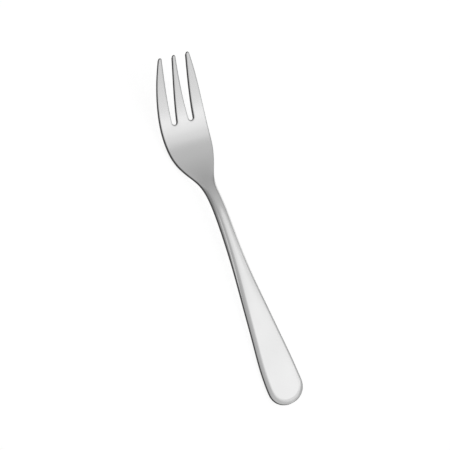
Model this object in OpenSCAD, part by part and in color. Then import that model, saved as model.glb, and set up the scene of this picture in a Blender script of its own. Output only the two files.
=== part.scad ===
// Three-tined pastry fork, pressed from one strip of stainless steel.
// It lies as on a table: tines up and towards +Y, handle towards -Y, length centred on Y.
// The underside of the handle and the belly of the head touch the table at Z = 0.

/* [Handle] */
// From the handle's end to the narrowest place of the neck
handle_length = 85; // [70:1:100]
// Width of the handle at its widest place
handle_width = 16.3; // [13:0.1:19]
// From the handle's end to its widest place, which is how long the round end is
handle_round = 7.5; // [6.5:0.1:10]
// Fullness of the round end: 2 is an ellipse, more is squarer
end_fullness = 2.3; // [2:0.1:2.6]
// Thickness of the steel near the handle's end
handle_thickness = 1.85; // [1.7:0.05:2.6]
// Width of the soft shoulder that runs round the top of the handle
shoulder_width = 2.2; // [1.5:0.1:3]
// How far the shoulder falls from the flat top to the edge
shoulder_drop = 0.5; // [0.2:0.05:0.6]

/* [Neck] */
// Width of the neck at its narrowest place
neck_width = 5.7; // [4.5:0.1:7]
// Thickness of the steel at the neck
neck_thickness = 2.6; // [2.3:0.1:3.4]
// Height of the neck's underside over the table
neck_rise = 3.6; // [1.5:0.05:6]
// How far the rounded top of the neck falls from its middle to its sides
neck_crown = 0.55; // [0:0.05:0.7]

/* [Head] */
// From the neck to the tips of the tines
head_length = 59.8; // [54:0.1:70]
// Width of the head at its widest place
head_width = 21.5; // [18:0.1:25]
// From the neck to the widest place of the head
head_widest = 34; // [30:0.5:37]
// From the neck to the lowest place of the belly
belly_length = 23; // [19:0.5:27]
// Thickness of the steel in the head
head_thickness = 1.4; // [1.3:0.1:2]
// How far the sides of the head stand over its middle
head_dish = 0.25; // [0:0.05:1]

/* [Tines] */
// Depth of the two slots, from the tips
slot_depth = 24.4; // [18:0.2:26]
// Width of a slot at its round bottom
slot_width = 2.4; // [1.6:0.1:3]
// Width of the middle tine beside the bottoms of the slots
tine_root_width = 5.5; // [4.6:0.1:6.4]
// How far each side of the middle tine curves in, half way along it
tine_waist = 0.1; // [0:0.05:0.3]
// Width of each tine at its tip
tine_tip_width = 1.5; // [1.2:0.1:2]
// From the middle of one tip to the middle of the next
tine_pitch = 6.3; // [5:0.1:7.5]
// Length of the rounding at each tip
tine_tip_round = 0.9; // [0.7:0.1:1.6]
// Thickness of the steel at the tips
tine_tip_thickness = 1.1; // [1:0.1:1.6]
// Height of the tips' underside over the table
tine_rise = 14.5; // [9:0.5:18]

/* [Edges] */
// Radius of the tumbled edges
edge_radius = 0.35; // [0.2:0.05:0.4]
// Depth of the two flats that the fork stands on
stand_flat = 0.06; // [0.03:0.01:0.1]

/* [Hidden] */

fork_length = handle_length + head_length;
neck_at = handle_length;
heel_share = 1.4;
heel_at = heel_share * handle_round;
belly_at = neck_at + belly_length;
widest_at = neck_at + head_widest;
slot_radius = slot_width / 2;
slot_middle = tine_root_width / 2 + slot_radius;
root_at = fork_length - slot_depth + slot_radius;
tip_side = tine_pitch + tine_tip_width / 2;
// Height of the underside at the very end of the handle.
heel_lift = 0.5;

// Outline of the handle: share of the way from its widest place to the neck, and share of the extra width left.
taper_shares = [[0, 1], [0.1, 0.95], [0.26, 0.72], [0.45, 0.43], [0.63, 0.17], [0.82, 0.03], [1, 0]];
// Outline of the head: share of the way from the neck to the widest place, and share of the extra width gained.
flare_shares = [[0.17, 0.02], [0.29, 0.125], [0.4, 0.365], [0.52, 0.645], [0.66, 0.865], [0.83, 0.97], [1, 1]];
// Outer side of an outer tine: share of the way from the widest place to the tip, and share of the width lost.
sweep_shares = [[0.25, 0.06], [0.5, 0.235], [0.8, 0.62], [1, 1]];
// Underside of the handle: share of the way from the heel to the neck, and share of the neck's rise.
arch_shares = [[0.25, 0.165], [0.6, 0.52], [0.88, 0.945], [1, 1]];
// Underside behind the belly: share of the way from the neck to the belly, and share of the neck's rise left.
fall_shares = [[0.22, 0.82], [0.56, 0.29], [0.84, 0.02], [1, 0]];
// Underside of the tines: share of the way from the belly to the tips, and share of the tips' rise.
curl_shares = [[0.2, 0.045], [0.55, 0.36], [1, 1]];

// Mesh of the skin: rows along the fork, columns across it, steps round a corner.
end_rows = 7;
handle_rows = 18;
head_rows = 21;
tine_rows = 12;
tip_rows = 3;
slot_columns = 5;
root_column_shares = [0, 0.5, 1];
side_column_shares = [0, 0.34, 0.64, 0.86, 1];
corner_steps = 2;

// Blend from 0 at a to 1 at b, with no jump in slope or bend at either end.
function ramp(a, b, s) =
    let (t = min(1, max(0, (s - a) / (b - a))))
    t * t * t * (10 + t * (6 * t - 15));

// Bends of the natural cubic curve through the stations [place, value], one a station.
function bends(table) =
    let (
        last = len(table) - 1,
        step = [for (i = [0 : last - 1]) table[i + 1][0] - table[i][0]],
        rise = [for (i = [0 : last - 1]) (table[i + 1][1] - table[i][1]) / step[i]],
        swept = bend_sweep(step, rise, last, 1, [[0, 0]])
    )
    bend_back(swept, last - 1, [0]);
function bend_sweep(step, rise, last, i, done) =
    i == last ? done :
    let (
        before = done[i - 1],
        pivot = 2 * (step[i - 1] + step[i]) - step[i - 1] * before[0],
        load = 6 * (rise[i] - rise[i - 1]) - step[i - 1] * before[1]
    )
    bend_sweep(step, rise, last, i + 1, concat(done, [[step[i] / pivot, load / pivot]]));
function bend_back(swept, i, done) =
    i < 0 ? done :
    bend_back(swept, i - 1, concat([i == 0 ? 0 : swept[i][1] - swept[i][0] * done[0]], done));

// Value at place s of the natural cubic curve through a table, whose bends are given.
function curve_at(table, bend, s, i = 0) =
    i < len(table) - 2 && s > table[i + 1][0] ? curve_at(table, bend, s, i + 1) :
    let (
        step = table[i + 1][0] - table[i][0],
        b = (s - table[i][0]) / step,
        a = 1 - b
    )
    a * table[i][1] + b * table[i + 1][1]
    + ((a * a * a - a) * bend[i] + (b * b * b - b) * bend[i + 1]) * step * step / 6;

// Stations of a stretch from one place and value to another, by a list of shares.
function stretch(shares, place, run, value, change) =
    [for (share = shares) [place + share[0] * run, value + share[1] * change]];

// Half the width of the fork over its slots, as stations along it.
outline = concat(
    [[0, handle_width / 2]],
    stretch(taper_shares, handle_round, neck_at - handle_round, neck_width / 2, (handle_width - neck_width) / 2),
    stretch(flare_shares, neck_at, head_widest, neck_width / 2, (head_width - neck_width) / 2),
    stretch(sweep_shares, widest_at, fork_length - widest_at, head_width / 2, tip_side - head_width / 2)
);
outline_bends = bends(outline);
function side_at(s) = curve_at(outline, outline_bends, s);

// Height of the underside along the middle, before the flats are cut.
underside = concat(
    [[0, heel_lift], [heel_at, -stand_flat]],
    stretch(arch_shares, heel_at, neck_at - heel_at, -stand_flat, neck_rise + stand_flat),
    stretch(fall_shares, neck_at, belly_length, -stand_flat, neck_rise + stand_flat),
    stretch(curl_shares, belly_at, fork_length - belly_at, -stand_flat, tine_rise + stand_flat)
);
underside_bends = bends(underside);
function underside_at(s) = curve_at(underside, underside_bends, s);

// Thickness of the steel along the middle.
function thickness_at(s) =
    handle_thickness
    + (neck_thickness - handle_thickness) * ramp(heel_at, neck_at, s)
    + (head_thickness - neck_thickness) * ramp(neck_at, belly_at, s)
    + (tine_tip_thickness - head_thickness) * ramp(belly_at, fork_length, s);

// 1 on the handle and neck, 0 on the head, where the top is flat to its edges.
function crowned_at(s) = 1 - ramp(neck_at, belly_at, s);

// Square of half the width inside the rounded edges, which falls to 0 at the round end of the handle.
function inner_square(s) =
    let (
        slope = (side_at(s + edge_radius) - side_at(s - edge_radius)) / (2 * edge_radius),
        half = side_at(s) - edge_radius * sqrt(1 + slope * slope),
        left = s < handle_round ? (handle_round - s) / (handle_round - edge_radius) : 0
    )
    half * half * (1 - pow(left, end_fullness));
function inner_side_at(s) = sqrt(max(0, inner_square(s)));

// Distance in from the edge of the handle or neck, which grows fast towards the middle.
function edge_distance(x, s) =
    let (change = (inner_square(s + edge_radius) - inner_square(s - edge_radius)) / (2 * edge_radius))
    (inner_square(s) - x * x) / max(edge_radius, norm([2 * x, change]));

// Fall of a shoulder: 1 at the edge, 0 a shoulder's width inside it.
shoulder_power = 2.5;
function shoulder(x, s) = pow(min(1, max(0, 1 - edge_distance(x, s) / shoulder_width)), shoulder_power);

function dish(x, s) = head_dish * ramp(neck_at, widest_at, s) * pow(2 * x / head_width, 2);

// Surfaces of the fork at a place across it, x, and along it, s.
function bottom_z(x, s) =
    max(0, underside_at(s) + dish(x, s) + shoulder_drop / 2 * crowned_at(s) * shoulder(x, s));
function top_z(x, s) =
    underside_at(s) + thickness_at(s) + dish(x, s)
    - crowned_at(s) * (shoulder_drop * shoulder(x, s)
        + neck_crown * ramp(heel_at, neck_at, s) * x * x / max(edge_radius * edge_radius, inner_square(s)));

// Middle and half the inner width of tine k at s: -1 left, 0 middle, 1 right.
function slot_side_at(s) =
    let (t = (s - root_at) / (fork_length - root_at))
    [tine_root_width / 2 * (1 - t) + tine_tip_width / 2 * t - 4 * tine_waist * t * (1 - t),
     (slot_middle + slot_radius) * (1 - t) + (tine_pitch - tine_tip_width / 2) * t];
function tine_span(k, s) =
    let (
        walls = slot_side_at(s),
        reach = tine_tip_round - edge_radius,
        over = s > fork_length - tine_tip_round ? (s - fork_length + tine_tip_round) / reach : 0,
        near = k == 0 ? -walls[0] + edge_radius : walls[1] + edge_radius,
        far = k == 0 ? walls[0] - edge_radius : inner_side_at(s),
        half = (far - near) / 2 * sqrt(max(0, 1 - over * over))
    )
    [(near + far) / 2 * (k == 0 ? 1 : k), half];

// Columns of the skin on the right half: share of the half width, and depth of the slot's round bottom there.
hole_radius = slot_radius + edge_radius;
root_half = inner_side_at(root_at);
middle_share = (slot_middle - hole_radius) / root_half;
outer_share = (slot_middle + hole_radius) / root_half;
right_columns = concat(
    [for (share = root_column_shares) [share * middle_share, 0]],
    [for (i = [1 : slot_columns - 1])
        let (turn = 180 * i / slot_columns)
        [(slot_middle - hole_radius * cos(turn)) / root_half, hole_radius * sin(turn)]],
    [for (share = side_column_shares) [outer_share + share * (1 - outer_share), 0]]
);
right_last = len(right_columns) - 1;
columns = concat(
    [for (i = [right_last : -1 : 1]) [-right_columns[i][0], right_columns[i][1]]],
    right_columns
);
inner_column = len(root_column_shares) - 1;
outer_column = inner_column + slot_columns;

// Places of the rows along the body and along the tines, closer together past the slim shaft.
shaft_at = neck_at - 3 * neck_width;
body_rows = concat(
    [for (i = [0 : end_rows - 1])
        handle_round - (handle_round - edge_radius) * cos(90 * i / end_rows)],
    [for (i = [0 : handle_rows - 1]) handle_round + (shaft_at - handle_round) * i / handle_rows],
    [for (i = [0 : head_rows]) shaft_at + (root_at - shaft_at) * i / head_rows]
);
cap_at = fork_length - tine_tip_round;
tine_places = concat(
    [for (i = [1 : tine_rows]) root_at + (cap_at - root_at) * i / tine_rows],
    [for (i = [1 : tip_rows]) cap_at + (tine_tip_round - edge_radius) * sin(90 * i / tip_rows)]
);

// Flat patterns of the skin: rows of [x, s] for the body and for each tine.
function body_pattern() = [for (s = body_rows)
    let (bowed = ramp(root_at - 4 * hole_radius, root_at, s))
    [for (column = columns) [column[0] * inner_side_at(s), s - column[1] * bowed]]];
body = body_pattern();
root_row = body[len(body) - 1];
function tine_first(k) = right_last + (k == 0 ? -inner_column : k > 0 ? outer_column : -right_last);
function tine_last(k) = right_last + (k == 0 ? inner_column : k > 0 ? right_last : -outer_column);
function tine_pattern(k) =
    let (
        foot = [for (i = [tine_first(k) : tine_last(k)]) root_row[i]],
        span = tine_span(k, root_at)
    )
    concat([foot], [for (s = tine_places)
        let (now = tine_span(k, s))
        [for (point = foot) [now[0] + (point[0] - span[0]) / span[1] * now[1], s]]]);
tines = [for (k = [-1 : 1]) tine_pattern(k)];

// Edge of the flat pattern, once round: the right side, then across the tines and slots to the left side.
function last_of(row) = row[len(row) - 1];
function up_right(tine) = [for (i = [1 : len(tine) - 1]) last_of(tine[i])];
function down_left(tine) = [for (i = [len(tine) - 2 : -1 : 1]) tine[i][0]];
function slot_bottom(from, to) = [for (i = [from : -1 : to]) root_row[i]];
edge = concat(
    [for (row = body) last_of(row)],
    up_right(tines[2]), down_left(tines[2]),
    slot_bottom(tine_first(1), tine_last(0)),
    up_right(tines[1]), down_left(tines[1]),
    slot_bottom(tine_first(0), tine_last(-1)),
    up_right(tines[0]), down_left(tines[0]),
    [for (i = [len(body) - 1 : -1 : 1]) body[i][0]]
);

// Rounded edge: each edge point becomes a row of points from the top over the wall to the bottom.
function place(x, s, z) = [x, s - fork_length / 2, z];
function outward(i) =
    let (
        after = edge[(i + 1) % len(edge)],
        before = edge[(i + len(edge) - 1) % len(edge)],
        along = (after - before) / norm(after - before)
    )
    [along[1], -along[0]];
function rim_row(i) =
    let (
        point = edge[i],
        out = outward(i),
        top = top_z(point[0], point[1]),
        bottom = bottom_z(point[0], point[1]),
        turns = [for (step = [0 : corner_steps]) 90 * step / corner_steps]
    )
    concat(
        [for (turn = turns)
            let (at = point + out * edge_radius * sin(turn))
            place(at[0], at[1], top - edge_radius * (1 - cos(turn)))],
        [for (i = [corner_steps : -1 : 0])
            let (at = point + out * edge_radius * sin(turns[i]))
            place(at[0], at[1], bottom + edge_radius * (1 - cos(turns[i])))]
    );

function raised(pattern) = [for (row = pattern) [for (p = row) place(p[0], p[1], top_z(p[0], p[1]))]];
function lowered(pattern) = [for (row = pattern) [for (p = row) place(p[0], p[1], bottom_z(p[0], p[1]))]];
function turned(patch) = [for (row = patch) [for (i = [len(row) - 1 : -1 : 0]) row[i]]];

rim = [for (i = [0 : len(edge)]) rim_row(i % len(edge))];
patches = concat(
    [turned(raised(body)), lowered(body), turned(rim)],
    [for (tine = tines) turned(raised(tine))],
    [for (tine = tines) lowered(tine)]
);

// Corner points and triangles of a patch of rows, leaving out triangles with no area.
function corners(patch) = [for (row = patch) each row];
function starts(list, i = 0, at = 0) =
    i == len(list) ? [] : concat([at], starts(list, i + 1, at + len(list[i]) * len(list[i][0])));
function triangles(patch, start) =
    let (wide = len(patch[0]))
    [for (j = [0 : len(patch) - 2], i = [0 : wide - 2])
        let (
            a = [j, i],
            b = [j, i + 1],
            c = [j + 1, i + 1],
            d = [j + 1, i]
        )
        each [for (t = [[a, b, c], [a, c, d]])
            let (p = patch[t[0][0]][t[0][1]], q = patch[t[1][0]][t[1][1]], r = patch[t[2][0]][t[2][1]])
            if (p != q && q != r && r != p)
                [for (v = t) start + v[0] * wide + v[1]]]];

module pastry_fork() {
    start = starts(patches);
    color("silver")
        polyhedron(
            points = [for (patch = patches) each corners(patch)],
            faces = [for (i = [0 : len(patches) - 1]) each triangles(patches[i], start[i])]
        );
}

pastry_fork();
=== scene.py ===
"""Pastry fork of polished stainless steel, lying tines up on a pale table under soft studio light.

The fork is one pressed piece, so one closed skin replaces the one solid of the frame. The skin is worked
out from the fork's own sizes, as the solid is, but with the finer surfaces that the eye sees: shoulders
that roll into rounded edges, a softened upper edge on the head, edges that meet the faces along their own
slope, and the brushed and polished finishes.
"""

import logging
import math
from collections.abc import Callable
from dataclasses import dataclass, field
from enum import Enum

import bpy
import numpy as np
from mathutils import Matrix, Vector


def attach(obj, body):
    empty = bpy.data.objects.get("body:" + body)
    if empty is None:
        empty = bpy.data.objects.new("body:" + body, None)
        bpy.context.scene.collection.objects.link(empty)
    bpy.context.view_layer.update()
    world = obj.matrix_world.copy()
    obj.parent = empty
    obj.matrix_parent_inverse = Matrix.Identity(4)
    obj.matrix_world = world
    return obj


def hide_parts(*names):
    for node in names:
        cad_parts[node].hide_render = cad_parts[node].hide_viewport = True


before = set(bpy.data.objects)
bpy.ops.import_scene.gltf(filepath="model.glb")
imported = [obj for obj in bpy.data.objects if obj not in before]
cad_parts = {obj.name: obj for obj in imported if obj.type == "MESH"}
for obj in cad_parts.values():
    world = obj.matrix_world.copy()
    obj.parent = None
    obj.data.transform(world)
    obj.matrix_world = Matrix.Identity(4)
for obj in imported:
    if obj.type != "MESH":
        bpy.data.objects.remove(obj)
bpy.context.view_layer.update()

MM = 0.001
LOG = logging.getLogger("pastry_fork")

# Points that agree to this many digits of a millimetre are welded.
WELD_DIGITS = 5

# The left, middle and right tine.
TINES = (-1, 0, 1)

# A height as a function of the places across and along.
Surface = Callable[[np.ndarray, np.ndarray], np.ndarray]

# Pairs of a place and a value.
Pairs = tuple[tuple[float, float], ...]

# Red, green, blue and cover.
Colour = tuple[float, float, float, float]


def ramp(start: float, end: float, at: np.ndarray) -> np.ndarray:
    """Blend from 0 at start to 1 at end: t^3 * (10 - 15 t + 6 t^2), with t the share of the way.

    Args:
        start: Place where the blend leaves 0.
        end: Place where the blend reaches 1.
        at: Places to work the blend out for.

    Returns:
        The blend at each place, with no jump in slope or bend at either end.
    """
    t = np.clip((at - start) / (end - start), 0.0, 1.0)
    return t ** 3 * (10.0 + t * (6.0 * t - 15.0))


class NaturalCurve:
    """Natural cubic curve through stations: its bend is 0 at both ends and has no jump between them."""

    def __init__(self, stations: np.ndarray) -> None:
        """Solves h0 B0 + 2 (h0 + h1) B1 + h1 B2 = 6 (r1 - r0) for the bend at each inner station.

        B0, B1 and B2 are the bends before, at and after a station, h0 and h1 the steps between them, and r0
        and r1 the rises per length over those steps.

        Args:
            stations: Rows of place and value, with the places rising.
        """
        self.places, self.values = stations[:, 0], stations[:, 1]
        step = np.diff(self.places)
        rise = np.diff(self.values) / step
        count = len(self.places)
        rule = np.eye(count)
        load = np.zeros(count)
        inner = np.arange(1, count - 1)
        rule[inner, inner - 1] = step[:-1]
        rule[inner, inner] = 2.0 * (step[:-1] + step[1:])
        rule[inner, inner + 1] = step[1:]
        load[inner] = 6.0 * np.diff(rise)
        self.bends = np.linalg.solve(rule, load)

    def __call__(self, at: np.ndarray) -> np.ndarray:
        """Value of the curve: a V0 + b V1 + ((a^3 - a) B0 + (b^3 - b) B1) step^2 / 6.

        V and B are the values and the bends of the stations before and after a place, b is the share of the
        step that lies before the place, and a is 1 - b.

        Args:
            at: Places to work the value out for.

        Returns:
            The value at each place.
        """
        i = np.clip(np.searchsorted(self.places, at) - 1, 0, len(self.places) - 2)
        step = self.places[i + 1] - self.places[i]
        b = (at - self.places[i]) / step
        a = 1.0 - b
        straight = a * self.values[i] + b * self.values[i + 1]
        bend = (a ** 3 - a) * self.bends[i] + (b ** 3 - b) * self.bends[i + 1]
        return straight + bend * step ** 2 / 6.0


def stretch(shares: Pairs, place: float, run: float, value: float, change: float) -> np.ndarray:
    """Stations of one stretch of a curve, from shares of its run and of its change in value."""
    table = np.array(shares)
    return np.column_stack((place + table[:, 0] * run, value + table[:, 1] * change))


def slope_of(surface: Surface, points: np.ndarray, out: np.ndarray, step: float) -> np.ndarray:
    """Slope of a surface just inside an edge: its rise over the last short step towards the edge.

    Args:
        surface: Height as a function of the place across and along.
        points: Rows of place across and place along, on the edge.
        out: The edge's outward direction at each point.
        step: Length of the short step.

    Returns:
        Rise per length in the outward direction, one value a point.
    """
    inside = points - out * step
    return (surface(points[:, 0], points[:, 1]) - surface(inside[:, 0], inside[:, 1])) / step


@dataclass
class SkinMesh:
    """Patches of a closed skin, gathered as grids of points and welded into one mesh."""

    grids: list[np.ndarray] = field(default_factory=list)
    walls: list[np.ndarray] = field(default_factory=list)

    def add(self, grid: np.ndarray, wall: np.ndarray, flip: bool) -> None:
        """Adds a grid of points of shape rows, columns, 3.

        Args:
            grid: The points, in millimetres.
            wall: How far each point has turned from a face to the side wall, 0 to 1, raised by the painted
                shade.
            flip: True where the rows have to be read backwards for the faces to point outwards.
        """
        self.grids.append(grid[:, ::-1] if flip else grid)
        self.walls.append(wall[:, ::-1] if flip else wall)

    def build(self, name: str) -> bpy.types.Object:
        """Welds the patches, so that points in the same place become one and no seam is left open.

        A quad that keeps three corners becomes a triangle, and one that keeps fewer is left out.

        Args:
            name: The object's name.

        Returns:
            The object, in metres, with the turn to the wall and the painted shade as the attribute wall.
        """
        points = np.concatenate([g.reshape(-1, 3) for g in self.grids])
        walls = np.concatenate([w.reshape(-1) for w in self.walls])
        quads = []
        first = 0
        for grid in self.grids:
            rows, columns = grid.shape[:2]
            index = first + np.arange(rows * columns).reshape(rows, columns)
            corners = (index[:-1, :-1], index[:-1, 1:], index[1:, 1:], index[1:, :-1])
            quads.append(np.stack(corners, axis=-1).reshape(-1, 4))
            first += rows * columns
        rounded = np.round(points, WELD_DIGITS)
        _, kept, welded = np.unique(rounded, axis=0, return_index=True, return_inverse=True)
        welded = welded.reshape(-1)
        turned_most = np.zeros(len(kept), dtype=np.float32)
        np.maximum.at(turned_most, welded, walls)
        joined = welded[np.concatenate(quads)]
        faces = [tuple(dict.fromkeys(quad)) for quad in joined.tolist()]
        faces = [f for f in faces if len(f) > 2]
        mesh = bpy.data.meshes.new(name)
        mesh.from_pydata((points[kept] * MM).tolist(), [], faces)
        mesh.polygons.foreach_set("use_smooth", np.ones(len(faces), dtype=bool))
        turned = mesh.attributes.new("wall", "FLOAT", "POINT")
        turned.data.foreach_set("value", turned_most)
        mesh.update()
        piece = bpy.data.objects.new(name, mesh)
        bpy.context.scene.collection.objects.link(piece)
        return piece


@dataclass
class PastryFork:
    """The fork's sizes in millimetres and the surfaces that follow from them.

    Places along the fork, s, run from 0 at the handle's end to the tips of the tines. Places across it, x,
    are 0 in the middle. Heights are above the table. Names that end in share, shares, slope, shade, power or
    fullness hold plain numbers, and those that end in rows, columns or steps hold counts.
    """

    # Handle, whose round end is an ellipse where its fullness is 2 and fuller above that
    handle_length: float = 85.0
    handle_width: float = 16.3
    handle_round: float = 7.5
    end_fullness: float = 2.3
    handle_thickness: float = 1.85

    # Underside: the heel's place as a share of handle_round, the lift at the very end, and the flats' depth
    heel_share: float = 1.4
    heel_lift: float = 0.5
    stand_flat: float = 0.06

    # Shoulder round the handle: wider at the end, blended over a share of handle_round, and lower beneath
    shoulder_width: float = 2.2
    shoulder_drop: float = 0.5
    shoulder_power: float = 2.5
    lower_drop_share: float = 0.5
    end_shoulder: float = 3.4
    end_blend_share: float = 1.5

    # Neck
    neck_width: float = 5.7
    neck_thickness: float = 2.6
    neck_rise: float = 3.6
    neck_crown: float = 0.55

    # Head
    head_length: float = 59.8
    head_width: float = 21.5
    head_widest: float = 34.0
    belly_length: float = 23.0
    head_thickness: float = 1.4
    head_dish: float = 0.25

    # Slots and tines
    slot_depth: float = 24.4
    slot_width: float = 2.4
    tine_root_width: float = 5.5
    tine_waist: float = 0.1
    tine_tip_width: float = 1.5
    tine_pitch: float = 6.3
    tine_tip_round: float = 0.9
    tine_tip_thickness: float = 1.1
    tine_rise: float = 14.5

    # Edges: their round, the head's softened upper edge or roll, and the painted shade that darkens the face
    # beside
    edge_radius: float = 0.35
    slope_step_share: float = 0.1
    roll_width: float = 0.55
    roll_least_share: float = 0.1
    roll_slope: float = 0.18
    edge_shade: float = 0.2
    end_shade: float = 0.42

    # Stretches of the outline and of the underside, each as shares of its run and of its change in value
    taper_shares: Pairs = (
        (0, 1), (0.1, 0.95), (0.26, 0.72), (0.45, 0.43), (0.63, 0.17), (0.82, 0.03), (1, 0))
    flare_shares: Pairs = (
        (0.17, 0.02), (0.29, 0.125), (0.4, 0.365), (0.52, 0.645), (0.66, 0.865), (0.83, 0.97), (1, 1))
    sweep_shares: Pairs = ((0.25, 0.06), (0.5, 0.235), (0.8, 0.62), (1, 1))
    arch_shares: Pairs = ((0.25, 0.165), (0.6, 0.52), (0.88, 0.945), (1, 1))
    fall_shares: Pairs = ((0.22, 0.82), (0.56, 0.29), (0.84, 0.02), (1, 0))
    curl_shares: Pairs = ((0.2, 0.045), (0.55, 0.36), (1, 1))

    # Skin: rows along the fork, columns across it, and steps of each arc round the edge
    end_rows: int = 40
    handle_rows: int = 110
    head_rows: int = 130
    tine_rows: int = 90
    tip_rows: int = 10
    root_columns: int = 10
    slot_columns: int = 14
    side_columns: int = 16
    corner_steps: int = 7

    # Rows lie closer from this many neck widths before the neck, and bow over this many bow radii
    close_rows_share: float = 3.0
    bow_share: float = 4.0

    def __post_init__(self) -> None:
        """Works out the places along the fork and the curves through its stations.

        At the slots the rounded edge stands out by radius * (1 - half the softened edge's slope), and the
        skin's rows bow round a slot's bottom at its radius and that reach.
        """
        self.length = self.handle_length + self.head_length
        self.neck_at = self.handle_length
        self.heel_at = self.heel_share * self.handle_round
        self.belly_at = self.neck_at + self.belly_length
        self.widest_at = self.neck_at + self.head_widest
        self.slot_radius = self.slot_width / 2
        self.slot_middle = self.tine_root_width / 2 + self.slot_radius
        self.root_at = self.length - self.slot_depth + self.slot_radius
        self.slot_reach = self.edge_radius * (1.0 - self.roll_slope / 2.0)
        self.bow_radius = self.slot_radius + self.slot_reach
        half_neck = self.neck_width / 2
        half_head = self.head_width / 2
        tip_side = self.tine_pitch + self.tine_tip_width / 2
        self.side = NaturalCurve(np.vstack((
            (0.0, self.handle_width / 2),
            stretch(self.taper_shares, self.handle_round, self.neck_at - self.handle_round,
                    half_neck, self.handle_width / 2 - half_neck),
            stretch(self.flare_shares, self.neck_at, self.head_widest, half_neck, half_head - half_neck),
            stretch(self.sweep_shares, self.widest_at, self.length - self.widest_at,
                    half_head, tip_side - half_head),
        )))
        low = -self.stand_flat
        neck_change = self.neck_rise - low
        self.underside = NaturalCurve(np.vstack((
            (0.0, self.heel_lift),
            (self.heel_at, low),
            stretch(self.arch_shares, self.heel_at, self.neck_at - self.heel_at, low, neck_change),
            stretch(self.fall_shares, self.neck_at, self.belly_length, low, neck_change),
            stretch(self.curl_shares, self.belly_at, self.length - self.belly_at, low, self.tine_rise - low),
        )))

    def thickness(self, s: np.ndarray) -> np.ndarray:
        """Thickness of the steel along the middle, blended from handle to neck, head and tips."""
        return (
            self.handle_thickness
            + (self.neck_thickness - self.handle_thickness) * ramp(self.heel_at, self.neck_at, s)
            + (self.head_thickness - self.neck_thickness) * ramp(self.neck_at, self.belly_at, s)
            + (self.tine_tip_thickness - self.head_thickness) * ramp(self.belly_at, self.length, s)
        )

    def crowned(self, s: np.ndarray) -> np.ndarray:
        """1 on the handle and neck, whose tops are rounded, and 0 on the head, whose top is flat."""
        return 1.0 - ramp(self.neck_at, self.belly_at, s)

    def crown(self, s: np.ndarray) -> np.ndarray:
        """Fall of the neck's rounded top from its middle to its sides."""
        return self.neck_crown * ramp(self.heel_at, self.neck_at, s) * self.crowned(s)

    def near_end(self, s: np.ndarray) -> np.ndarray:
        """1 at the handle's very end and 0 from a little past its round end on."""
        return 1.0 - ramp(0.0, self.end_blend_share * self.handle_round, s)

    def shoulder_reach(self, s: np.ndarray) -> np.ndarray:
        """Width of the shoulder, which is wider round the handle's end."""
        return self.shoulder_width + (self.end_shoulder - self.shoulder_width) * self.near_end(s)

    def lean(self, s: np.ndarray) -> np.ndarray:
        """Angle at which the faces fall to the rounded edge: arctan of the sum of their slopes there.

        The shoulder's slope is power * drop / width. The crown and the dish go with the square of the way
        across, so theirs is 2 * (crown - dish) / half the width. The softened edge is on the upper face
        alone, so half of its slope counts.

        Args:
            s: Places along the fork.

        Returns:
            The angle at each place, in radians.
        """
        side = self.side(s)
        crowned = self.crowned(s)
        shoulder = crowned * self.shoulder_power * self.shoulder_drop / self.shoulder_reach(s)
        roll = (1.0 - crowned) * self.roll_slope / 2.0
        return np.arctan(shoulder + roll + 2.0 * (self.crown(s) - self.dish(side, s)) / side)

    def reach(self, s: np.ndarray) -> np.ndarray:
        """How far the rounded edge stands out from the face's own edge: radius * (1 - sin of the lean)."""
        return self.edge_radius * (1.0 - np.sin(self.lean(s)))

    def end_reach(self) -> float:
        """How far the rounded edge stands out at the very end of the handle."""
        return float(self.reach(np.zeros(1))[0])

    def end_share(self, s: np.ndarray) -> np.ndarray:
        """How far into the round end a place lies: 0 where the end begins, 1 at its tip."""
        return np.clip((self.handle_round - s) / (self.handle_round - self.end_reach()), 0.0, 1.0)

    def full_half(self, s: np.ndarray) -> np.ndarray:
        """Half the width inside the rounded edges, as if the handle had no round end.

        It is the side less reach * sqrt(1 + slope^2), as the edge stands out square to the side's slope.

        Args:
            s: Places along the fork.

        Returns:
            Half the width at each place.
        """
        step = self.edge_radius
        slope = (self.side(s + step) - self.side(s - step)) / (2.0 * step)
        return self.side(s) - self.reach(s) * np.sqrt(1.0 + slope ** 2)

    def inner_square(self, s: np.ndarray) -> np.ndarray:
        """Square of half the inner width: half^2 * (1 - share of the end ^ fullness)."""
        return self.full_half(s) ** 2 * (1.0 - self.end_share(s) ** self.end_fullness)

    def edge_distance(self, x: np.ndarray, s: np.ndarray) -> np.ndarray:
        """Distance in from the handle's edge: (inner^2 - x^2) over the length of that form's gradient.

        Args:
            x: Places across the fork.
            s: Places along it.

        Returns:
            The distance at each place.
        """
        step = self.edge_radius
        change = (self.inner_square(s + step) - self.inner_square(s - step)) / (2.0 * step)
        gradient = np.hypot(2.0 * x, change)
        return (self.inner_square(s) - x ** 2) / np.maximum(step, gradient)

    def shoulder(self, x: np.ndarray, s: np.ndarray) -> np.ndarray:
        """Fall of a shoulder, 1 at the edge and 0 its width inside: (1 - distance / width) ^ power."""
        left = np.clip(1.0 - self.edge_distance(x, s) / self.shoulder_reach(s), 0.0, 1.0)
        return left ** self.shoulder_power

    def dish(self, x: np.ndarray, s: np.ndarray) -> np.ndarray:
        """Rise of the head's sides over its middle, with the square of the place across."""
        return self.head_dish * ramp(self.neck_at, self.widest_at, s) * (2.0 * x / self.head_width) ** 2

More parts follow.
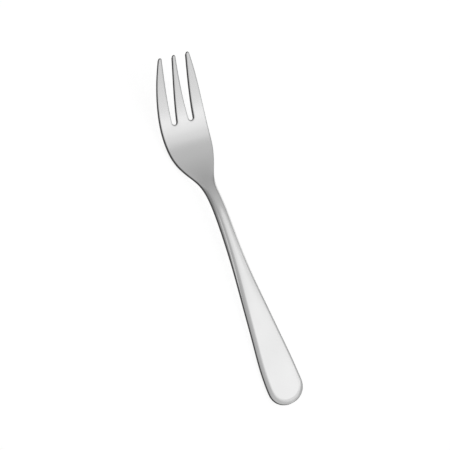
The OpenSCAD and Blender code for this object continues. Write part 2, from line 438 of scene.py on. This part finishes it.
    def roll(self, x: np.ndarray, s: np.ndarray) -> tuple[np.ndarray, np.ndarray]:
        """How far the head's softened edge has turned: share = 1 - gap / width, gap being the way in.

        The gap is taken to the head's sides and to the slots' round bottoms, and on the tines to each one's
        own sides. There the width is no more than half the tine and no less than roll_least_share of itself.

        Args:
            x: Places across the fork.
            s: Places along it.

        Returns:
            The share, 1 at the edge and 0 a width inside it, and the width.
        """
        to_side = self.full_half(s) - np.abs(x)
        to_middle = np.hypot(np.abs(x) - self.slot_middle, s - self.root_at)
        to_slot = to_middle - self.slot_radius - self.slot_reach
        share = 1.0 - np.minimum(to_side, to_slot) / self.roll_width
        width = np.full(share.shape, self.roll_width)
        for k in TINES:
            middle, half = self.tine_span(k, s)
            gap = half - np.abs(x - middle)
            narrow = np.clip(half, self.roll_least_share * self.roll_width, self.roll_width)
            mine = (s >= self.root_at) & (gap > -self.edge_radius)
            share = np.where(mine, 1.0 - gap / narrow, share)
            width = np.where(mine, narrow, width)
        return np.clip(share, 0.0, 1.0) * (1.0 - self.crowned(s)), width

    def top(self, x: np.ndarray, s: np.ndarray) -> np.ndarray:
        """Height of the upper face: underside + thickness + dish - shoulder - crown - softened edge.

        The crown falls with the square of the share of the way across. The softened edge falls by
        slope * width^2 / (2 * full width) * share^2, so it dies out at the tips.

        Args:
            x: Places across the fork.
            s: Places along it.

        Returns:
            The height at each place.
        """
        across = x ** 2 / np.maximum(self.edge_radius ** 2, self.inner_square(s))
        fall = self.shoulder_drop * self.crowned(s) * self.shoulder(x, s) + self.crown(s) * across
        share, width = self.roll(x, s)
        fall = fall + self.roll_slope * width ** 2 / (2.0 * self.roll_width) * share ** 2
        return self.underside(s) + self.thickness(s) + self.dish(x, s) - fall

    def bottom(self, x: np.ndarray, s: np.ndarray) -> np.ndarray:
        """Height of the lower face, which is cut flat where it touches the table."""
        lift = self.lower_drop_share * self.shoulder_drop * self.crowned(s) * self.shoulder(x, s)
        return np.maximum(0.0, self.underside(s) + self.dish(x, s) + lift)

    def end_pattern(self, columns: np.ndarray) -> np.ndarray:
        """Flat pattern of the round end, a half disc drawn from a half square.

        The point u, v of the square goes to u * sqrt(1 - v^2 / 2), v * sqrt(1 - u^2 / 2), which lies on the
        circle where u or v is 1. The second is then raised to 2 / fullness, to suit the end's form.

        Args:
            columns: The columns across, as shares of half the width.

        Returns:
            A grid of places across and along.
        """
        v = np.sin(np.linspace(math.pi / 2, 0.0, self.end_rows))[:, None]
        u = columns[None, :]
        across = u * np.sqrt(1.0 - v ** 2 / 2.0)
        along = (v * np.sqrt(1.0 - u ** 2 / 2.0)) ** (2.0 / self.end_fullness)
        s = self.handle_round - (self.handle_round - self.end_reach()) * along
        return np.stack((across * self.full_half(s), s), axis=-1)

    def columns(self) -> tuple[np.ndarray, np.ndarray, int, int]:
        """Columns of the body's pattern, which lead to the middle tine, the slots and the outer tines.

        They crowd together towards the edges, as the sine or the cosine of equal steps does.

        Returns:
            The columns as shares of half the width, the depth of the slot's round bottom under each, and how
            far the middle tine's and the outer tines' first columns lie from the middle one.
        """
        half = float(self.full_half(np.array([self.root_at]))[0])
        radius = self.bow_radius
        inner = (self.slot_middle - radius) / half
        outer = (self.slot_middle + radius) / half
        root_turn = np.linspace(0.0, math.pi / 2, self.root_columns + 1)
        slot_turn = np.linspace(0.0, math.pi, self.slot_columns + 1)[1:-1]
        side_turn = np.linspace(0.0, math.pi, self.side_columns + 1)
        root = inner * np.sin(root_turn)
        slot = (self.slot_middle - radius * np.cos(slot_turn)) / half
        side = outer + (1.0 - outer) * (1.0 - np.cos(side_turn)) / 2.0
        right = np.concatenate((root, slot, side))
        depth = np.concatenate((0.0 * root, radius * np.sin(slot_turn), 0.0 * side))
        shares = np.concatenate((-right[:0:-1], right))
        depths = np.concatenate((depth[:0:-1], depth))
        return shares, depths, self.root_columns, self.root_columns + self.slot_columns

    def body_pattern(self, columns: np.ndarray, depths: np.ndarray) -> np.ndarray:
        """Flat pattern from the round end to the roots of the tines, bowed round the slots' bottoms.

        Args:
            columns: The columns across, as shares of half the width.
            depths: How far the last row lies back under each column.

        Returns:
            A grid of places across and along.
        """
        shaft_at = self.neck_at - self.close_rows_share * self.neck_width
        handle = np.linspace(self.handle_round, shaft_at, self.handle_rows, endpoint=False)
        head = np.linspace(shaft_at, self.root_at, self.head_rows + 1)
        s = np.concatenate((handle, head))[:, None]
        bowed = ramp(self.root_at - self.bow_share * self.bow_radius, self.root_at, s)
        return np.stack((columns * self.full_half(s), s - depths * bowed), axis=-1)

    def tip_reach(self) -> float:
        """How far the rounded edge stands out at the tips: radius * (cos + sin of the tine's rise there).

        Returns:
            The distance along the fork.
        """
        run = 2.0 * self.edge_radius
        low, high = self.underside(np.array([self.length - run, self.length]))
        rise = math.atan((high - low) / run)
        return self.edge_radius * (math.cos(rise) + math.sin(rise))

    def tine_span(self, k: int, s: np.ndarray) -> tuple[np.ndarray, np.ndarray]:
        """Middle and half the inner width of a tine, whose tip is half an ellipse.

        The sides at the slots run straight, but the middle tine's are drawn in by 4 * waist * t * (1 - t),
        with t the share of the way from root to tip. The outer sides follow the head's. In the tip half the
        width goes with sqrt(1 - tip^2), with tip the share of the way through it.

        Args:
            k: The tine, one of TINES.
            s: Places along the fork.

        Returns:
            The place of the tine's middle across the fork, and half the tine's width inside its edges.
        """
        t = (s - self.root_at) / (self.length - self.root_at)
        tip = (s - self.length + self.tine_tip_round) / (self.tine_tip_round - self.tip_reach())
        tip = np.clip(tip, 0.0, 1.0)
        if k == 0:
            far = self.tine_root_width / 2 * (1.0 - t) + self.tine_tip_width / 2 * t
            far = far - 4.0 * self.tine_waist * t * (1.0 - t) - self.slot_reach
            near = -far
        else:
            near = (self.slot_middle + self.slot_radius) * (1.0 - t)
            near = near + (self.tine_pitch - self.tine_tip_width / 2) * t + self.slot_reach
            far = self.full_half(s)
        half = (far - near) / 2.0 * np.sqrt(1.0 - tip ** 2)
        return (near + far) / 2.0 * (k if k else 1), half

    def tine_pattern(self, k: int, foot: np.ndarray) -> np.ndarray:
        """Flat pattern of a tine: its foot's columns, drawn in to the tine's width at each row.

        Args:
            k: The tine, one of TINES.
            foot: Points of the body's last row that the tine grows from.

        Returns:
            A grid of places across and along, with the foot as its first row.
        """
        cap_at = self.length - self.tine_tip_round
        shaft = np.linspace(self.root_at, cap_at, self.tine_rows + 1)[1:]
        turn = np.linspace(0.0, math.pi / 2, self.tip_rows + 1)[1:]
        cap = cap_at + (self.tine_tip_round - self.tip_reach()) * np.sin(turn)
        s = np.concatenate((shaft, cap))[:, None]
        foot_middle, foot_half = self.tine_span(k, np.array([self.root_at]))
        middle, half = self.tine_span(k, s)
        x = middle + (foot[:, 0] - foot_middle) / foot_half * half
        rows = np.stack((x, np.broadcast_to(s, x.shape)), axis=-1)
        return np.concatenate((foot[None], rows))

    def patterns(self) -> tuple[list[np.ndarray], np.ndarray]:
        """All flat patterns, and the points of the edge that runs once round them.

        Returns:
            The grids of the round end, the body and the left, middle and right tines, and the edge's points.
        """
        columns, depths, to_inner, to_outer = self.columns()
        end = self.end_pattern(columns)
        body = self.body_pattern(columns, depths)
        middle = len(columns) // 2
        root = body[-1]
        first = {-1: 0, 0: middle - to_inner, 1: middle + to_outer}
        last = {-1: middle - to_outer, 0: middle + to_inner, 1: len(columns) - 1}
        tines = {k: self.tine_pattern(k, root[first[k]:last[k] + 1]) for k in TINES}

        def up(k: int) -> np.ndarray:
            """Right side of tine k, from its root to its tip."""
            return tines[k][1:, -1]

        def down(k: int) -> np.ndarray:
            """Left side of tine k, from its tip back to its root."""
            return tines[k][-2:0:-1, 0]

        def slot(k_right: int, k_left: int) -> np.ndarray:
            """Round bottom of the slot between two tines, from right to left."""
            return root[first[k_right]:last[k_left] - 1:-1]

        edge = np.concatenate((
            end[0], end[1:-1, -1], body[:, -1],
            up(1), down(1), slot(1, 0),
            up(0), down(0), slot(0, -1),
            up(-1), down(-1), body[:0:-1, 0], end[:0:-1, 0],
        ))
        return [end, body, tines[-1], tines[0], tines[1]], edge

    def place(self, x: np.ndarray, s: np.ndarray, z: np.ndarray) -> np.ndarray:
        """Points of the frame, whose origin is under the middle of the fork's length."""
        return np.stack(np.broadcast_arrays(x, s - self.length / 2.0, z), axis=-1)

    def rim(self, edge: np.ndarray) -> tuple[np.ndarray, np.ndarray]:
        """Rounded edge: an arc from the upper face to the wall and one from the wall to the lower face.

        A face's normal leans by the face's own slope, the wall's normal lies half way between the faces,
        and each arc turns from one to the other: point + radius * (sin, cos of the turn less those at its
        start). The upper arc begins with the face's painted shade, which is stronger round the handle's end.

        Args:
            edge: Points of the flat edge, once round.

        Returns:
            A closed band of points, and how far each has turned to the wall, raised by the painted shade.
        """
        along = np.roll(edge, -1, axis=0) - np.roll(edge, 1, axis=0)
        along /= np.linalg.norm(along, axis=1)[:, None]
        out = np.column_stack((along[:, 1], -along[:, 0]))
        r = self.edge_radius
        slopes = [slope_of(face, edge, out, self.slope_step_share * r) for face in (self.top, self.bottom)]
        lean_top = -np.arctan(slopes[0])[:, None]
        lean_bottom = math.pi - np.arctan(slopes[1])[:, None]
        wall_turn = math.pi / 2 - np.arctan((slopes[0] + slopes[1]) / 2.0)[:, None]
        share = np.linspace(0.0, 1.0, self.corner_steps + 1)[None, :]

        def arc(face: Surface, start: np.ndarray, turn: np.ndarray) -> np.ndarray:
            """Points of one arc, from the face's edge round to the wall.

            Args:
                face: The face that the arc starts from.
                start: Angle of the normal at the face's edge, one a point of the edge.
                turn: Angle of the normal at each step of the arc.

            Returns:
                A grid of points, one row a point of the edge.
            """
            height = face(edge[:, 0], edge[:, 1])[:, None]
            move = r * (np.sin(turn) - np.sin(start))
            rise = r * (np.cos(turn) - np.cos(start))
            x = edge[:, :1] + out[:, :1] * move
            s = edge[:, 1:] + out[:, 1:] * move
            return self.place(x, s, height + rise)

        upper = arc(self.top, lean_top, lean_top + (wall_turn - lean_top) * share)
        lower = arc(self.bottom, lean_bottom, lean_bottom + (wall_turn - lean_bottom) * share)
        band = np.concatenate((upper, lower[:, ::-1]), axis=1)
        # Painted shade: the upper arc starts already darkened, more so round the handle's end, standing in
        # for the dark that the edge reflects.
        painted_shade = self.edge_shade + (self.end_shade - self.edge_shade) * self.near_end(edge[:, 1:])
        turned = np.concatenate((painted_shade + (1.0 - painted_shade) * share, np.ones(lower.shape[:2])), axis=1)
        return np.concatenate((band, band[:1])), np.concatenate((turned, turned[:1]))

    def build(self) -> bpy.types.Object:
        """Builds the fork's skin: an upper and a lower face from each pattern, and the rim between them.

        Returns:
            The fork, in place on the table.
        """
        skin = SkinMesh()
        patterns, edge = self.patterns()
        for pattern in patterns:
            x, s = pattern[..., 0], pattern[..., 1]
            # Painted shade on the head's face beside its edges and slots, growing towards them.
            painted_shade = self.edge_shade * self.roll(x, s)[0] ** 2
            skin.add(self.place(x, s, self.top(x, s)), painted_shade, flip=False)
            skin.add(self.place(x, s, self.bottom(x, s)), np.zeros(x.shape), flip=True)
        band, turned = self.rim(edge)
        skin.add(band, turned, flip=False)
        return skin.build("fork_steel")


def tone_ramp(nodes: bpy.types.Nodes, tones: Pairs) -> bpy.types.Node:
    """Colour ramp with straight runs between grey stops, of which a new ramp has two already.

    Args:
        nodes: The nodes that the ramp is added to.
        tones: The stops, each a place and a tone.

    Returns:
        The ramp's node.
    """
    tone = nodes.new("ShaderNodeValToRGB")
    tone.color_ramp.interpolation = "LINEAR"
    stops = tone.color_ramp.elements
    for i, (at, grey) in enumerate(tones):
        stop = stops[i] if i < 2 else stops.new(at)
        stop.position = at
        stop.color = (grey, grey, grey, 1.0)
    return tone


@dataclass(frozen=True)
class PolishedSteel:
    """Stainless steel with a soft polish on its faces and rougher edges, coloured near black there as
    painted shade.

    The clouds take the face's roughness from smooth_share to rough_share of itself. Scales are per metre,
    and the grain's depth is in metres.
    """

    face_colour: Colour = (0.77, 0.77, 0.77, 1.0)
    painted_shade_colour: Colour = (0.06, 0.06, 0.06, 1.0)
    wall_shares: Pairs = ((0.0, 0.0), (0.2, 0.2), (0.45, 0.75), (0.6, 1.0))
    face_roughness: float = 0.2
    smooth_share: float = 0.85
    rough_share: float = 1.2
    wall_roughness: float = 0.42
    cloud_scale: float = 90.0
    cloud_detail: float = 2.0
    grain_scale_across: float = 2600.0
    grain_scale_along: float = 60.0
    grain_detail: float = 3.0
    grain_depth: float = 0.000004
    grain_strength: float = 0.15

    def make(self) -> bpy.types.Material:
        """Builds the material's nodes: lengthwise polishing grain, soft clouds, and rougher walls coloured
        with painted shade.

        Returns:
            The material, which reads the attribute wall.
        """
        steel = bpy.data.materials.new("polished_steel")
        steel.use_nodes = True
        nodes, links = steel.node_tree.nodes, steel.node_tree.links
        shader = nodes["Principled BSDF"]
        shader.inputs["Metallic"].default_value = 1.0

        place = nodes.new("ShaderNodeTexCoord")
        grain_map = nodes.new("ShaderNodeMapping")
        across, along = self.grain_scale_across, self.grain_scale_along
        grain_map.inputs["Scale"].default_value = (across, along, across)
        links.new(place.outputs["Object"], grain_map.inputs["Vector"])
        grain = nodes.new("ShaderNodeTexNoise")
        grain.inputs["Scale"].default_value = 1.0
        grain.inputs["Detail"].default_value = self.grain_detail
        links.new(grain_map.outputs["Vector"], grain.inputs["Vector"])

        clouds = nodes.new("ShaderNodeTexNoise")
        clouds.inputs["Scale"].default_value = self.cloud_scale
        clouds.inputs["Detail"].default_value = self.cloud_detail
        links.new(place.outputs["Object"], clouds.inputs["Vector"])

        wall = nodes.new("ShaderNodeAttribute")
        wall.attribute_name = "wall"
        wall_share = tone_ramp(nodes, self.wall_shares)
        links.new(wall.outputs["Fac"], wall_share.inputs["Fac"])

        # Painted shade: walls, edges and the face beside them take a near-black colour standing in for the
        # dark that they reflect.
        colour = nodes.new("ShaderNodeMix")
        colour.data_type = "RGBA"
        colour.inputs["A"].default_value = self.face_colour
        colour.inputs["B"].default_value = self.painted_shade_colour
        links.new(wall_share.outputs["Color"], colour.inputs["Factor"])
        links.new(colour.outputs["Result"], shader.inputs["Base Color"])

        face_rough = nodes.new("ShaderNodeMapRange")
        face_rough.inputs["To Min"].default_value = self.face_roughness * self.smooth_share
        face_rough.inputs["To Max"].default_value = self.face_roughness * self.rough_share
        links.new(clouds.outputs["Fac"], face_rough.inputs["Value"])
        rough = nodes.new("ShaderNodeMix")
        rough.inputs["B"].default_value = self.wall_roughness
        links.new(wall_share.outputs["Color"], rough.inputs["Factor"])
        links.new(face_rough.outputs["Result"], rough.inputs["A"])
        links.new(rough.outputs["Result"], shader.inputs["Roughness"])

        bump = nodes.new("ShaderNodeBump")
        bump.inputs["Strength"].default_value = self.grain_strength
        bump.inputs["Distance"].default_value = self.grain_depth
        links.new(grain.outputs["Fac"], bump.inputs["Height"])
        links.new(bump.outputs["Normal"], shader.inputs["Normal"])
        return steel


class Ray(Enum):
    """Kinds of ray that see the pale background."""

    CAMERA = "Is Camera Ray"
    GLOSSY = "Is Glossy Ray"
    TRANSMISSION = "Is Transmission Ray"


@dataclass(frozen=True)
class PaleFloor:
    """The table: a pale plane, reach metres to each side, that shows near white and keeps the shadow."""

    reach: float = 3.0
    colour: Colour = (0.9, 0.9, 0.9, 1.0)
    seen_colour: Colour = (0.42, 0.42, 0.42, 1.0)
    seen_glow: float = 0.8

    def build(self) -> bpy.types.Object:
        """Builds the plane at the table's height, which is 0.

        Returns:
            The floor.
        """
        reach = self.reach
        corners = [(-reach, -reach, 0), (reach, -reach, 0), (reach, reach, 0), (-reach, reach, 0)]
        mesh = bpy.data.meshes.new("table_top")
        mesh.from_pydata(corners, [], [(0, 1, 2, 3)])
        floor = bpy.data.objects.new("table_top", mesh)
        bpy.context.scene.collection.objects.link(floor)
        mesh.materials.append(self.make())
        return floor

    def make(self) -> bpy.types.Material:
        """Builds the floor's material: a matt pale colour that is lifted to white where it is seen.

        Returns:
            The material.
        """
        pale = bpy.data.materials.new("pale_table")
        pale.use_nodes = True
        nodes, links = pale.node_tree.nodes, pale.node_tree.links
        nodes.remove(nodes["Principled BSDF"])
        rays = nodes.new("ShaderNodeLightPath")
        seen = rays.outputs[Ray.CAMERA.value]
        for kind in (Ray.GLOSSY, Ray.TRANSMISSION):
            either = nodes.new("ShaderNodeMath")
            either.operation = "MAXIMUM"
            links.new(seen, either.inputs[0])
            links.new(rays.outputs[kind.value], either.inputs[1])
            seen = either.outputs["Value"]
        colour = nodes.new("ShaderNodeMix")
        colour.data_type = "RGBA"
        colour.inputs["A"].default_value = self.colour
        colour.inputs["B"].default_value = self.seen_colour
        links.new(seen, colour.inputs["Factor"])
        matt = nodes.new("ShaderNodeBsdfDiffuse")
        links.new(colour.outputs["Result"], matt.inputs["Color"])
        strength = nodes.new("ShaderNodeMath")
        strength.operation = "MULTIPLY"
        strength.inputs[1].default_value = self.seen_glow
        links.new(seen, strength.inputs[0])
        glow = nodes.new("ShaderNodeEmission")
        links.new(strength.outputs["Value"], glow.inputs["Strength"])
        both = nodes.new("ShaderNodeAddShader")
        links.new(matt.outputs["BSDF"], both.inputs[0])
        links.new(glow.outputs["Emission"], both.inputs[1])
        links.new(both.outputs["Shader"], nodes["Material Output"].inputs["Surface"])
        return pale


@dataclass(frozen=True)
class Softbox:
    """One soft oval lamp near the fork, which adds a plain glow over the room's own light.

    Its place and size are in metres and its turn is in degrees.
    """

    name: str
    place: tuple[float, float, float]
    size: tuple[float, float]
    turn: float
    glow: float

    def build(self) -> bpy.types.Object:
        """Hangs the lamp level and facing down, turned about the vertical.

        Its power is pi * area * glow, with pi / 4 * length * width as the area.

        Returns:
            The lamp's object.
        """
        lamp = bpy.data.lights.new(self.name, "AREA")
        lamp.shape = "ELLIPSE"
        lamp.size, lamp.size_y = self.size
        lamp.energy = math.pi * math.pi / 4.0 * self.size[0] * self.size[1] * self.glow
        box = bpy.data.objects.new(self.name, lamp)
        box.location = self.place
        box.rotation_euler = (0.0, 0.0, math.radians(self.turn))
        bpy.context.scene.collection.objects.link(box)
        return box


@dataclass(frozen=True)
class StudioLight:
    """Soft light: a pale room, brightest up in front and on the right, and five softboxes over the fork.

    The tones run from the dim side to the bright side, and the low tones from the horizon straight up.
    """

    bright_side: tuple[float, float, float] = (0.6, -0.6, 0.5)
    tones: Pairs = (
        (0.0, 0.34), (0.375, 0.34), (0.46, 0.58), (0.55, 0.45), (0.625, 0.53), (0.7, 0.565),
        (0.775, 0.6), (0.84, 0.635), (0.9, 0.645), (1.0, 0.69))
    low_tones: Pairs = (
        (0.0, 0.44), (0.1, 0.5), (0.2, 0.56), (0.3, 0.63), (0.42, 0.75), (0.6, 0.88), (0.75, 0.915),
        (0.87, 0.945), (1.0, 1.0))
    background: Colour = (1.0, 1.0, 1.0, 1.0)
    boxes: tuple[Softbox, ...] = (
        Softbox("softbox_near", (0.155, -0.079, 0.285), (0.115, 0.1), 0.0, 0.16),
        Softbox("softbox_front", (0.155, -0.103, 0.26), (0.12, 0.06), 0.0, 0.145),
        Softbox("softbox_wide", (0.2, -0.13, 0.3), (0.37, 0.25), -48.0, 0.28),
        Softbox("softbox_long", (0.6, -0.115, 0.27), (0.75, 0.16), 0.0, 0.36),
        Softbox("softbox_left", (-0.275, -0.03, 0.3), (0.09, 0.06), 0.0, 0.6),
    )

    def build(self) -> None:
        """Builds the room's tones and hangs the softboxes."""
        self.build_world()
        for box in self.boxes:
            box.build()

    def build_world(self) -> None:
        """Lights by direction: a ramp of (1 + direction . bright side) / 2, times a ramp of the height.

        Past the floor's edge the camera sees the plain background.
        """
        world = bpy.data.worlds.new("studio")
        bpy.context.scene.world = world
        world.use_nodes = True
        nodes, links = world.node_tree.nodes, world.node_tree.links
        direction = nodes.new("ShaderNodeTexCoord")
        towards = nodes.new("ShaderNodeVectorMath")
        towards.operation = "DOT_PRODUCT"
        towards.inputs[1].default_value = Vector(self.bright_side).normalized()
        links.new(direction.outputs["Generated"], towards.inputs[0])
        share = nodes.new("ShaderNodeMapRange")
        share.inputs["From Min"].default_value = -1.0
        share.inputs["From Max"].default_value = 1.0
        links.new(towards.outputs["Value"], share.inputs["Value"])
        parts = nodes.new("ShaderNodeSeparateXYZ")
        links.new(direction.outputs["Generated"], parts.inputs["Vector"])
        tone = tone_ramp(nodes, self.tones)
        links.new(share.outputs["Result"], tone.inputs["Fac"])
        low = tone_ramp(nodes, self.low_tones)
        links.new(parts.outputs["Z"], low.inputs["Fac"])
        both = nodes.new("ShaderNodeVectorMath")
        both.operation = "MULTIPLY"
        links.new(tone.outputs["Color"], both.inputs[0])
        links.new(low.outputs["Color"], both.inputs[1])
        rays = nodes.new("ShaderNodeLightPath")
        colour = nodes.new("ShaderNodeMix")
        colour.data_type = "RGBA"
        colour.inputs["B"].default_value = self.background
        links.new(rays.outputs[Ray.CAMERA.value], colour.inputs["Factor"])
        links.new(both.outputs["Vector"], colour.inputs["A"])
        links.new(colour.outputs["Result"], nodes["Background"].inputs["Color"])


@dataclass(frozen=True)
class StudioCamera:
    """Camera above and to the left of the fork, turned so that the fork lies slanting in the frame.

    Angles are in degrees, and the focal length is in pixels of a frame that is frame_pixels wide.
    """

    aim_mm: tuple[float, float, float] = (-1.25, 3.43, 6.0)
    lean: float = 29.9
    nod: float = 2.1
    roll: float = -21.6
    distance_mm: float = 354.0
    focal_pixels: float = 893.0
    frame_pixels: float = 450.0
    sensor_mm: float = 36.0
    near_clip: float = 0.01

    def build(self) -> bpy.types.Object:
        """Creates the camera from its lean to the left, its nod to the front and its roll about its axis.

        Returns:
            The camera, which is set as the scene's.
        """
        lean, nod, roll = (math.radians(a) for a in (self.lean, self.nod, self.roll))
        back = Vector((-math.sin(lean), -math.sin(nod) * math.cos(lean), math.cos(lean) * math.cos(nod)))
        back.normalize()
        level = Vector((0, 1, 0)).cross(back).normalized()
        upward = back.cross(level)
        right = math.cos(roll) * level + math.sin(roll) * upward
        up = back.cross(right)
        data = bpy.data.cameras.new("studio_camera")
        data.sensor_width = self.sensor_mm
        data.lens = self.sensor_mm * self.focal_pixels / self.frame_pixels
        data.clip_start = self.near_clip
        camera = bpy.data.objects.new("studio_camera", data)
        spot = Vector(self.aim_mm) * MM + back * self.distance_mm * MM
        turn = Matrix((right, up, back)).transposed()
        camera.matrix_world = Matrix.Translation(spot) @ turn.to_4x4()
        bpy.context.scene.collection.objects.link(camera)
        bpy.context.scene.camera = camera
        return camera


def main() -> None:
    """Builds the camera, the fork, the floor and the light, and reports the fork's faces."""
    logging.basicConfig(level=logging.INFO, format="%(name)s: %(message)s")
    bpy.context.scene.view_settings.view_transform = "Standard"
    StudioCamera().build()

    fork = PastryFork().build()
    fork.data.materials.append(PolishedSteel().make())
    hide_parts("pastry_fork")
    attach(fork, "root")
    LOG.info("%s: %d faces", fork.name, len(fork.data.polygons))

    PaleFloor().build()
    StudioLight().build()


if __name__ == "__main__":
    main()
